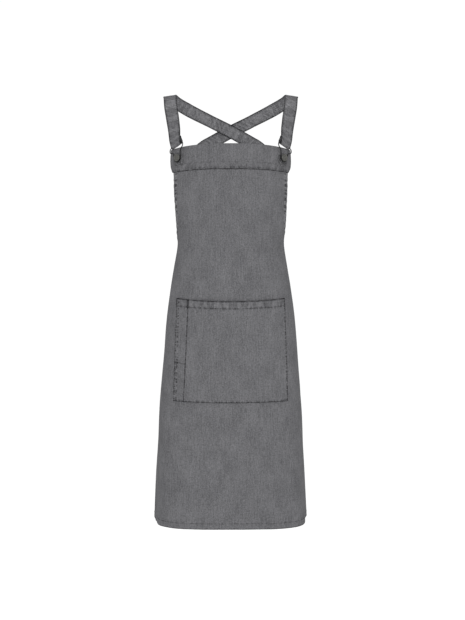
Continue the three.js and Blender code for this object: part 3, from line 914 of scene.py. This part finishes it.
def make_pocket():
    mouth = POCKET_HEM / POCKET_HEIGHT
    downs = np.concatenate([np.linspace(0, mouth, 9), np.linspace(mouth + 0.006, 1, 84)])
    middles = np.linspace(-1, 1, 107)
    outer, inner, chart = [], [], []
    names = ("left", "right", "top", "low", "pen", "penlow", "slot", "corner")
    values = {name: [] for name in names}
    for down in downs:
        from_top = down * POCKET_HEIGHT
        from_low = (1 - down) * POCKET_HEIGHT
        half = pocket_width(down) / 2
        around = middles * half
        pen = around + half - pen_place(down)
        from_edge = half - np.abs(around)
        edge = near_to(from_edge, 9) * ripple(from_top, around * 0, "pocket edge")
        foot = near_to(from_low, 9) * ripple(around, 0.0, "pocket foot")
        join = near_to(pen - 3, 7) * ripple(from_top, around * 0, "pen")
        soft = ripple(around, from_top, "pocket") * 0.4
        double = MOUTH_FOLD * (1 - smooth(from_top, POCKET_HEM - 0.8, POCKET_HEM + 0.8))
        sunk = smooth(np.minimum(from_edge, from_low), 0, 6)
        lift = (POCKET_PUCKER * (edge + foot + join) + soft * sunk
                - PEN_GROOVE * near_to(pen, 1.6) + double)
        outer.append([pocket_point(down, m, 1, more + FRONT_EXTRA)
                      for m, more in zip(middles, lift)])
        inner.append([pocket_point(down, m, -1, 0) for m in middles])
        chart.append(np.stack([around, np.full_like(around, -from_top)], axis=1))
        below = max(0.0, from_top - POCKET_HEM)
        fall = from_top - PEN_DEPTH - around * PEN_FALL - 12
        above = max(0.0, POCKET_HEM - from_top)
        distances = (half + around, half - around, np.full_like(around, from_top),
                     np.full_like(around, from_low), pen + PEN_CLEAR * above,
                     np.hypot(fall, np.maximum(pen, 0)), np.hypot(pen, below),
                     np.hypot(from_edge, below))
        for name, distance in zip(names, distances):
            values[name].append(distance * MM)
    outer = np.array(outer)
    sheet = close_sheet("denim_pocket", outer, np.array(inner), np.array(chart), values)
    dress(sheet, denim("denim_pocket", POCKET_SEAMS), "pocket")
    ups = face_directions(outer)

    def along(points):
        """A row of stitches through places on the pocket, each one down and across."""
        spots, faces = [], []
        for down, middle in points:
            r = np.interp(down, downs, np.arange(len(downs)))
            c = np.interp(middle, middles, np.arange(len(middles)))
            r0, c0 = min(int(r), len(downs) - 2), min(int(c), len(middles) - 2)
            fr, fc = r - r0, c - c0
            for grid, kept in ((outer, spots), (ups, faces)):
                kept.append(grid[r0, c0] * (1 - fr) * (1 - fc) + grid[r0, c0 + 1] * (1 - fr) * fc
                            + grid[r0 + 1, c0] * fr * (1 - fc) + grid[r0 + 1, c0 + 1] * fr * fc)
        return np.array(spots), np.array(faces), STITCH

    half = POCKET_WIDTH / 2
    rows = []
    for inset in (1.8, 7.2):
        share = 1 - inset / half
        foot = 1 - inset / POCKET_HEIGHT
        for side in (-1, 1):
            rows.append(along([(d, side * share) for d in np.linspace(0.004, foot, 90)]))
        rows.append(along([(foot, m) for m in np.linspace(-share, share, 90)]))
    hem = (POCKET_HEM - 1.4) / POCKET_HEIGHT
    rows.append(along([(hem, m) for m in np.linspace(-0.99, 0.99, 90)]))
    rows.append(along([(d, (pen_place(d) + 2.2) / half - 1) for d in np.linspace(mouth, 0.97, 90)]))
    pen_end = pen_place(PEN_DEPTH / POCKET_HEIGHT) / half - 1
    rows.append(along([((PEN_DEPTH + 10 + m * half * PEN_FALL) / POCKET_HEIGHT, m)
                       for m in np.linspace(-0.98, pen_end, 20)]))
    stitches = make_stitches("pocket_stitches", rows)


# The straps

def spline(points, share, closed=False):
    """Centripetal Catmull-Rom, evenly shared between its points."""
    count = len(points)
    p = (count - (0 if closed else 1)) * share
    i = int(math.floor(p))
    w = p - i
    if not closed and i >= count - 1:
        i, w = count - 2, 1.0
    if closed:
        p0, p1 = points[(i - 1) % count], points[i % count]
        p2, p3 = points[(i + 1) % count], points[(i + 2) % count]
    else:
        p1, p2 = points[i], points[i + 1]
        p0 = points[i - 1] if i > 0 else 2 * points[0] - points[1]
        p3 = points[i + 2] if i + 2 < count else 2 * points[-1] - points[-2]
    d0, d1, d2 = (max(np.linalg.norm(b - a) ** 0.5, 1e-4)
                  for a, b in ((p0, p1), (p1, p2), (p2, p3)))
    t1 = ((p1 - p0) / d0 - (p2 - p0) / (d0 + d1) + (p2 - p1) / d1) * d1
    t2 = ((p2 - p1) / d1 - (p3 - p1) / (d1 + d2) + (p3 - p2) / d2) * d1
    c2 = -3 * p1 + 3 * p2 - 2 * t1 - t2
    c3 = 2 * p1 - 2 * p2 + t1 + t2
    return p1 + t1 * w + c2 * w * w + c3 * w ** 3


def way_at(points, share, closed=False):
    low, high = share - 1e-4, share + 1e-4
    if not closed:
        low, high = max(0.0, low), min(1.0, high)
    return unit(spline(points, high % 1.0 if closed else high, closed)
                - spline(points, low % 1.0 if closed else low, closed))


def clip_frame(hand):
    at = BUTTON_DROP / LENGTH
    point, normal = on_form(at, hand * (HALF_BIB - BUTTON_INSET))
    point, normal = point[0], normal[0]
    base = point + normal * (FOLD_RADIUS + CLOTH / 2 + WIRE_GAP)
    flat = np.cross([0, 0, 1.0], normal)
    tilt, slant = math.radians(CLIP_TILT), math.radians(CLIP_TILT + STRAP_SLANT)
    up = np.array([0, 0, math.cos(tilt)]) + flat * hand * math.sin(tilt)
    rise = np.array([0, 0, math.cos(slant)]) + flat * hand * math.sin(slant)
    across = np.cross(up, normal)
    wire = base + normal * (CLIP_LIFT - WIRE_GAP)
    return base, wire, normal, up, across, rise


LOOP = BUTTON / 2 + 1
BAR = CLIP_HEIGHT - LOOP - WIRE
EAR = CLIP_WIDTH / 2 - WIRE / 2
LAP_LIFT = CLOTH / 2 + LAP_GAP + STRAP_THICK / 2


def on_back(at, across, lift):
    side = -1 if across < 0 else 1
    return on_cloth(at, side * (half_way(at) - abs(across)), lift)[0]


def crossing_lift(beyond):
    away = abs(beyond) / STRAP
    return (1 - float(smooth(away, 1.3, 2.2))) * (STRAP_THICK + CROSSING_GAP)


def end_path():
    """The strap's way down the back: how far past the centre back, and the height."""
    rows = [np.array([r["beyond"] * half_way(r["at"]), height_of(r["at"]), 0.0])
            for r in STRAP_END]
    height = height_of(ARM_END) - LAP * 0.7
    corner = WAIST / 2 - STRAP * 0.6
    rows.append(np.array([half_way(level_of(height)) - corner, height, 0.0]))
    return rows


def back_frame(hand, spot, beside, rise, lift):
    """A place beside one on the back, its two surface steps and its outward direction."""
    def place(step, up):
        return on_back(level_of(spot[1] + rise + up), -hand * spot[0] + beside + step, lift)

    middle = place(0, 0)
    aslant, upward = (place(CLOTH, 0) - middle) / CLOTH, (place(0, CLOTH) - middle) / CLOTH
    return middle, aslant, upward, unit(np.cross(upward, aslant))


def end_place(hand, path, share, aside):
    spot, way = spline(path, share), way_at(path, share)
    lift = LAP_LIFT + (crossing_lift(spot[0]) if hand > 0 else 0)
    middle, aslant, upward, face = back_frame(hand, spot, 0, 0, lift)
    across = unit(np.cross(aslant * -hand * way[0] + upward * way[1], face))
    rise = across[2] / upward[2]
    beside = (across - upward * rise).dot(aslant) / aslant.dot(aslant)
    middle, aslant, upward, face = back_frame(hand, spot, beside * aside, rise * aside, lift)
    return middle, face


STRAP_STEP = 2.6
END_STEPS = 170
BEND_STEPS = 12


def strap_stations(hand):
    """Stations along a strap: its tail behind the bar and the part over the shoulder."""
    base, wire, normal, up, across, rise = clip_frame(hand)
    inward = unit(up * math.tan(math.radians(BAR_SLANT)) - hand * across)
    skew = -hand * math.tan(math.radians(BAR_SLANT - STRAP_SLANT))
    bar = wire + up * BAR + inward * BAR_SHIFT
    reach = WIRE / 2 + WIRE_GAP + STRAP_THICK / 2
    above = bar + rise * STRAP / 2 + normal * STRAP_THICK * 0.75
    above[1] += STRAP_LEAN
    spots = [bar + normal * reach, above]
    faces = [normal, unit(normal - np.array([0, 0.42, 0]))]
    for row in STRAP_ROWS:
        spots.append(np.array([hand * row["across"] * SPAN / 2, row["back"] * FORM_DEPTH,
                               row["high"] * DROP]))
        nx, ny, nz = row["face"]
        faces.append(unit(np.array([hand * nx, ny, nz])))
    path = end_path()
    for share in (0, 0.12):
        spot, face = end_place(hand, path, share, 0)
        spots.append(spot)
        faces.append(face)
    front = []
    spans = len(spots) - 1
    for i in range(spans - 1):
        steps = max(4, round(np.linalg.norm(spots[i + 1] - spots[i]) / STRAP_STEP))
        for k in range(steps):
            share = (i + k / steps) / spans
            way = way_at(spots, share)
            face = faces[i] * (1 - k / steps) + faces[i + 1] * k / steps
            face = unit(face - way * face.dot(way))
            spot = spline(spots, share)
            high = np.linalg.norm(spot - spots[0]) / STRAP
            slip = rise * skew * (1 - float(smooth(high, 0, 1)))
            front.append({"spot": spot, "face": face, "way": way, "slip": slip, "shift": 0})
    tail = []
    gone = 0.0
    for before, here in zip(front[:-1], front[1:]):
        gone += np.linalg.norm(here["spot"] - before["spot"])
        if gone > TAIL:
            break
        step = min(1.0, gone / TAIL * 1.6)
        apart = 2 * reach + (STRAP_THICK + SEAM_GAP - 2 * reach) * step
        tail.insert(0, {"spot": here["spot"] - here["face"] * apart, "face": -here["face"],
                        "way": -here["way"], "slip": here["slip"],
                        "shift": -hand * TAIL_SHIFT * (1 - gone / TAIL)})
    for k in range(BEND_STEPS):
        turn = math.pi * (1 - k / BEND_STEPS)
        face = normal * math.cos(turn) - rise * math.sin(turn)
        way = rise * math.cos(turn) + normal * math.sin(turn)
        tail.append({"spot": bar + face * reach, "face": face, "way": way, "slip": rise * skew,
                     "shift": -hand * TAIL_SHIFT * (1 - k / BEND_STEPS) * 0.6})
    return tail, front, path


def make_strap(hand, side_name):
    name = "cloth_strap_" + side_name
    tail, front, path = strap_stations(hand)
    aside = np.array([-a for a in STRAP_COLUMNS] + [0] + STRAP_COLUMNS[::-1])
    middle, ups = [], []
    for station in tail + front:
        across = np.cross(station["way"], station["face"]) + station["slip"]
        shift = np.array([station["shift"], 0, 0])
        middle.append([station["spot"] + across * a + shift for a in aside])
        ups.append([station["face"] for a in aside])
    for k in range(END_STEPS + 1):
        places = [end_place(hand, path, k / END_STEPS, a) for a in aside]
        middle.append([place for place, face in places])
        ups.append([face for place, face in places])
    middle, ups = np.array(middle), np.array(ups)
    steps = np.linalg.norm(np.diff(middle[:, len(aside) // 2], axis=0), axis=1)
    run = np.concatenate([[0], np.cumsum(steps)])[:, None]
    aside = aside[None, :]
    edge = STRAP / 2 - np.abs(aside)
    on_tail = (np.arange(len(run)) < len(tail) - 4)[:, None]
    crease = ripple(run + aside * 1.1, aside, side_name + " strap")
    thick = STRAP_THICK / 2 * (0.72 + 0.28 * smooth(edge, 0, 1.2) + 0.06 * smooth(edge, 2.5, 5))
    thick = thick + 0.12 * near_to(edge - 2, 2.5) * ripple(run, aside, "strap tuck")
    body = 0.22 * crease * smooth(edge, 1, 6)
    top = middle + ups * (thick + body)[:, :, None]
    bottom = middle - ups * (thick - body)[:, :, None]
    chart = np.stack(np.broadcast_arrays(aside, run), axis=2)
    values = {"side": np.where(on_tail, edge + TAIL_EDGE, edge) * MM,
              "run": np.broadcast_to(run * MM, crease.shape)}
    values = {key: grid[::-1] for key, grid in values.items()}
    sheet = close_sheet(name, top[::-1], bottom[::-1], chart[::-1], values, STRAP_EDGE)
    length = float(run[-1, 0]) * MM
    look = denim(name, [
        # Strap seams with painted shade in groove and pucker hollows and painted highlight on
        # crests, painted shade along both edges, and creases painted light and dark.
        seam("side", 0.0024, "v", 0.001, 0.3, 0.9, 0.005, 270, 0.3, 0.1),
        seam("side", 0.012, "v", 0.001, 0, 0.5, 0.012, 120, 0.16, 0.16, sink=0, pull=1.2),
        seam("run", length - 0.002, "u", 0.0014, 0.5, 0.5, 0.004, 260, 0.2, 0.2),
        painted_edge_shade("side", 0.0036, 0.95),
    ], shade=0.98, creases=0.22)
    dress(sheet, look, "strap_" + side_name)
    rows = []
    for pick in (2, -3):
        rows.append((top[:, pick], ups[:, pick], STRAP_STITCH))
        rows.append((bottom[:, pick], -ups[:, pick], STRAP_STITCH))
    begin = len(tail)
    tack = begin + int(np.searchsorted(run[begin:, 0] - run[begin, 0], TAIL - 3))
    for pick, stitch in ((-10, LAP_STITCH), (-2, LAP_STITCH), (tack, TACK_STITCH)):
        rows.append((top[pick, 2:-2], ups[pick, 2:-2], stitch))
    stitches = make_stitches(name + "_stitches", rows)


# Clips and buttons

def wire_points(hand):
    """The wire's centre line in the plane of the clip, around from its lowest point."""
    side = []
    for row in WIRE_ROWS:
        wide = row["wide"] * (EAR if row["ear"] else LOOP)
        side.append(np.array([wide, row["high"] * BAR - row["low"] * LOOP, 0.0]))
    other = [np.array([-p[0], p[1], 0.0]) for p in side][::-1]
    path = [np.array([0, -LOOP, 0.0])] + side + [np.array([0, BAR, 0.0])] + other
    slant = hand * math.tan(math.radians(BAR_SLANT))
    for spot in path:
        spot[1] -= slant * spot[0] * float(smooth(spot[1], 0, BAR * 0.75))
    return path


def make_metal(name, points, faces, look, node):
    mesh = bmesh.new()
    corners = [mesh.verts.new(point * MM) for point in points]
    for face in faces:
        mesh.faces.new([corners[i] for i in face]).smooth = True
    bmesh.ops.recalc_face_normals(mesh, faces=mesh.faces)
    data = bpy.data.meshes.new(name)
    mesh.to_mesh(data)
    mesh.free()
    dress(make_object(name, data), look, node)


def make_clip(hand, side_name):
    base, wire, normal, up, across, rise = clip_frame(hand)
    path = wire_points(hand)
    long, around = 220, 14
    points, faces = [], []
    for i in range(long):
        spot, way = spline(path, i / long, True), way_at(path, i / long, True)
        out = np.array([way[1], -way[0], 0.0])
        for j in range(around):
            turn = 2 * math.pi * j / around
            local = spot + out * WIRE / 2 * math.cos(turn)
            points.append(wire + across * local[0] + up * local[1]
                          + normal * WIRE / 2 * math.sin(turn))
            ring, after = i * around, (i + 1) % long * around
            k = (j + 1) % around
            faces.append((ring + j, after + j, after + k, ring + k))
    make_metal("wire_clip_" + side_name, points, faces, wire_look, "clip_" + side_name)


# The button's half section: shares of its radius and height.
BUTTON_ROWS = [
    (0.58, 0), (0.62, 0.03), (0.62, 0.1), (0.55, 0.15), (0.38, 0.17), (0.34, 0.25),
    (0.34, 0.66), (0.4, 0.7), (0.88, 0.7), (0.96, 0.73), (1.0, 0.8), (0.99, 0.88), (0.93, 0.96),
    (0.86, 0.99), (0.78, 0.985), (0.72, 0.94), (0.66, 0.9), (0.58, 0.89), (0.5, 0.9),
    (0.44, 0.93), (0.36, 0.95), (0.2, 0.965),
]
BUTTON_TOP = 0.97


def make_button(hand, side_name):
    base, wire, normal, up, across, rise = clip_frame(hand)
    steps = 48
    points, faces = [base, base + normal * BUTTON_TOP * BUTTON_HEIGHT], []
    for wide, high in BUTTON_ROWS:
        centre = base + normal * high * BUTTON_HEIGHT
        for j in range(steps):
            turn = 2 * math.pi * j / steps
            out = across * math.cos(turn) + up * math.sin(turn)
            points.append(centre + out * wide * BUTTON / 2)
    last = len(BUTTON_ROWS) - 1
    for j in range(steps):
        k = (j + 1) % steps
        faces.append((0, 2 + k, 2 + j))
        faces.append((2 + last * steps + j, 2 + last * steps + k, 1))
        for row in range(last):
            ring = 2 + row * steps
            faces.append((ring + j, ring + k, ring + steps + k, ring + steps + j))
    make_metal("shank_button_" + side_name, points, faces, button_look, "button_" + side_name)


make_panel()
make_band()
make_pocket()
for make in (make_strap, make_clip, make_button):
    make(-1, "left")
    make(1, "right")


# The studio

FLOOR_HIGH = -1.42
FLOOR_SIZE = 30.0
SKY = 1.03


def make_floor():
    mesh = bmesh.new()
    bmesh.ops.create_grid(mesh, x_segments=2, y_segments=2, size=FLOOR_SIZE)
    data = bpy.data.meshes.new("studio_floor")
    mesh.to_mesh(data)
    mesh.free()
    floor = make_object("studio_floor", data)
    floor.location.z = FLOOR_HIGH
    n = Nodes("studio_floor", 0.9)
    n.shader.inputs["Base Color"].default_value = (1.0, 1.0, 1.0, 1)
    n.shader.inputs["Specular IOR Level"].default_value = 0.0
    floor.data.materials.append(n.look)


def make_light(name, place, target, size, power):
    data = bpy.data.lights.new(name, "AREA")
    data.shape = "DISK"
    data.size = size
    data.energy = power
    lamp = make_object(name, data)
    lamp.location = place
    lamp.rotation_euler = (Vector(target) - Vector(place)).to_track_quat("-Z", "Y").to_euler()
    return lamp


make_floor()
world = bpy.data.worlds.new("studio")
world.use_nodes = True
world.node_tree.nodes["Background"].inputs[0].default_value = (1, 1, 1, 1)
world.node_tree.nodes["Background"].inputs[1].default_value = SKY
bpy.context.scene.world = world
bpy.context.scene.view_settings.view_transform = "Standard"
make_light("key", (0.1, -3.0, 0.4), (0, 0, -0.45), 3.2, 46.0)
# A small lamp in the neck opening lights the inner faces of the back straps.
neck = make_light("neck", (0, -0.06, 0.0), (0, 0.1, -0.075), 0.24, 0.21)
neck.visible_camera = False

# The camera stands where the photograph was taken from: level, in front of the hips.
PHOTO_LONG = 620
SENSOR = 36.0
FOCAL_PIXELS = 1036
CAMERA_AWAY = 2.425
CAMERA_HIGH = -0.498
CENTRE_SHIFT = 0.0042
camera_data = bpy.data.cameras.new("photo_camera")
camera_data.sensor_width = SENSOR
camera_data.lens = FOCAL_PIXELS * SENSOR / PHOTO_LONG
camera = bpy.data.objects.new("photo_camera", camera_data)
camera.location = (CENTRE_SHIFT, -CAMERA_AWAY, CAMERA_HIGH)
camera.rotation_euler = (math.pi / 2, 0, 0)
bpy.context.scene.collection.objects.link(camera)
bpy.context.scene.camera = camera
